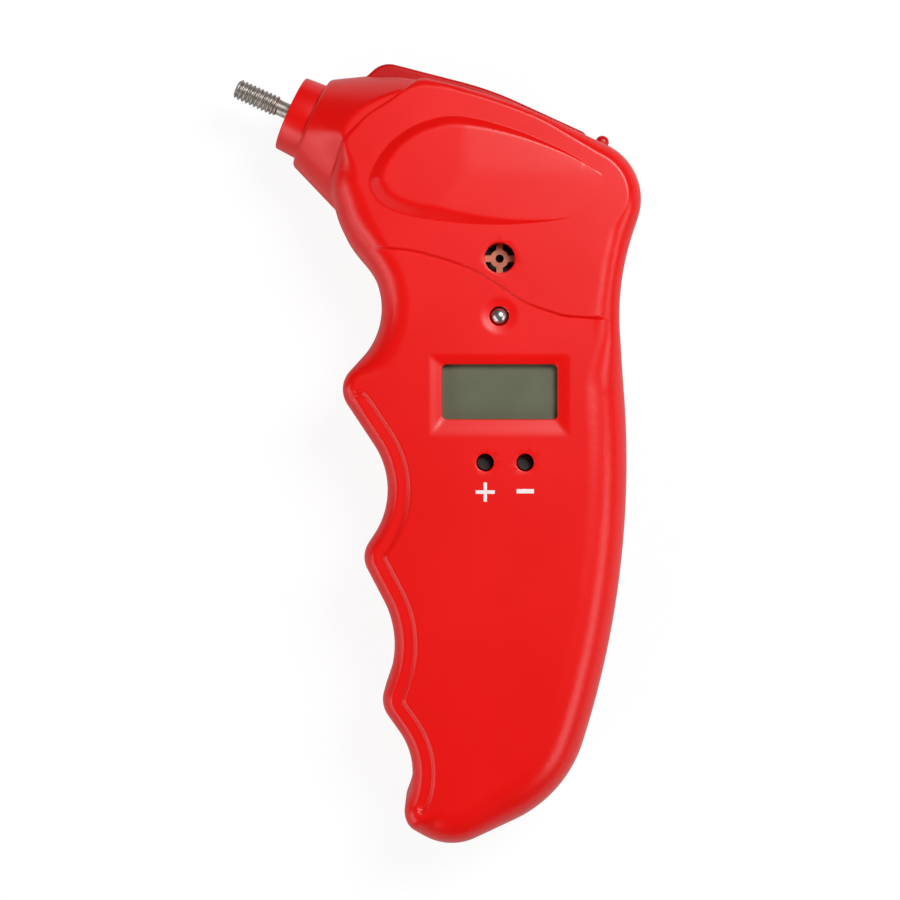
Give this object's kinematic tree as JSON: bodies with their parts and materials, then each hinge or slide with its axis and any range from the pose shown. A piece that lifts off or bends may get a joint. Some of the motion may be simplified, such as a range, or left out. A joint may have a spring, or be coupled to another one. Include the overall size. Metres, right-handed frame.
{
  "type": "tire tread gauge",
  "caption": "Digital tire tread depth gauge: pistol grip case with finger grooves, sprung threaded probe in a round nose, display, sounder, lamp, press lever and recessed setting buttons",
  "frame": {"origin": "middle of the overall box, on the flat back that the gauge lies on", "axes": "+Z out of the back through the display face, +Y from the grip's toe to the head, +X towards the back of the grip"},
  "size_m": [0.0738, 0.1416, 0.0256],
  "materials": {
    "case_red": "satin moulded",
    "lever_red": "satin moulded",
    "probe_steel": "turned",
    "screw_steel": "zinc plated",
    "spring_steel": "drawn",
    "bush_brass": "turned",
    "black_plastic": "matte",
    "board_green": "solder mask",
    "carbon_track": "printed",
    "lcd_grey": "polarised sheet over glass",
    "strip_rubber": "matte",
    "plate_copper": "stamped",
    "lamp_clear": "clear moulded",
    "cell_jacket": "printed sleeve",
    "lead_red": "insulation",
    "lead_black": "insulation",
    "ribbon_grey": "flat cable"
  },
  "bodies": {
    "case": {"front_shell": "case_red", "rear_shell": "case_red", "case_screws": "screw_steel", "nose_collar": "case_red", "guide_bush": "bush_brass", "probe_spring": "spring_steel", "rear_guide": "black_plastic", "sensor_board": "board_green", "sensor_tracks": "carbon_track", "lever_pin": "spring_steel", "lever_spring": "spring_steel", "read_switch_base": "black_plastic", "power_switch_base": "black_plastic", "main_board": "board_green", "board_screws": "screw_steel", "lcd_glass": "lcd_grey", "lcd_holder": "black_plastic", "contact_strips": "strip_rubber", "controller_chip": "black_plastic", "sounder_can": "black_plastic", "sounder_plate": "plate_copper", "indicator_lamp": "lamp_clear", "lamp_leads": "spring_steel", "set_switch_bases": "black_plastic", "battery_door": "case_red", "battery_door_screw": "screw_steel", "battery_cells": "cell_jacket", "battery_springs": "spring_steel", "battery_terminals": "spring_steel", "battery_bridge": "spring_steel", "battery_lead_red": "lead_red", "battery_lead_black": "lead_black", "sensor_ribbon": "ribbon_grey"},
    "probe": {"probe_rod": "probe_steel", "probe_stop_ring": "spring_steel", "wiper_carrier": "black_plastic", "wiper_contacts": "bush_brass"},
    "lever": {"read_lever": "lever_red"},
    "read_plunger": {"read_switch_plunger": "spring_steel"},
    "power": {"power_button": "lever_red", "power_switch_plunger": "spring_steel"},
    "plus": {"plus_plunger": "black_plastic"},
    "minus": {"minus_plunger": "black_plastic"}
  },
  "joints": [
    {"name": "probe_slide", "type": "slide", "parent": "case", "child": "probe", "axis": [0.91, -0.4147, 0], "range_m": [0, 0.01], "stiffness_N_per_m": 200, "springref_m": -0.005, "deforming": ["probe_spring"]},
    {"name": "lever_swing", "type": "hinge", "parent": "case", "child": "lever", "pos_m": [0.02406, 0.05566, 0.012], "axis": [0, 0, 1], "range_deg": [0, 3], "stiffness_Nm_per_rad": 1, "springref_deg": -1.72, "deforming": ["lever_spring"]},
    {"name": "read_plunger_slide", "type": "slide", "parent": "case", "child": "read_plunger", "axis": [-0.4147, -0.91, 0], "range_m": [0, 0.0006]},
    {"name": "power_slide", "type": "slide", "parent": "case", "child": "power", "axis": [-0.4147, -0.91, 0], "range_m": [0, 0.0006], "stiffness_N_per_m": 1500, "springref_m": -0.0005},
    {"name": "plus_slide", "type": "slide", "parent": "case", "child": "plus", "axis": [0, 0, -1], "range_m": [0, 0.0003], "stiffness_N_per_m": 3000, "springref_m": -0.0003},
    {"name": "minus_slide", "type": "slide", "parent": "case", "child": "minus", "axis": [0, 0, -1], "range_m": [0, 0.0003], "stiffness_N_per_m": 3000, "springref_m": -0.0003}
  ],
  "couplings": [
    {"joint": "read_plunger_slide", "follows": "lever_swing", "m_per_rad": 0.0105}
  ]
}
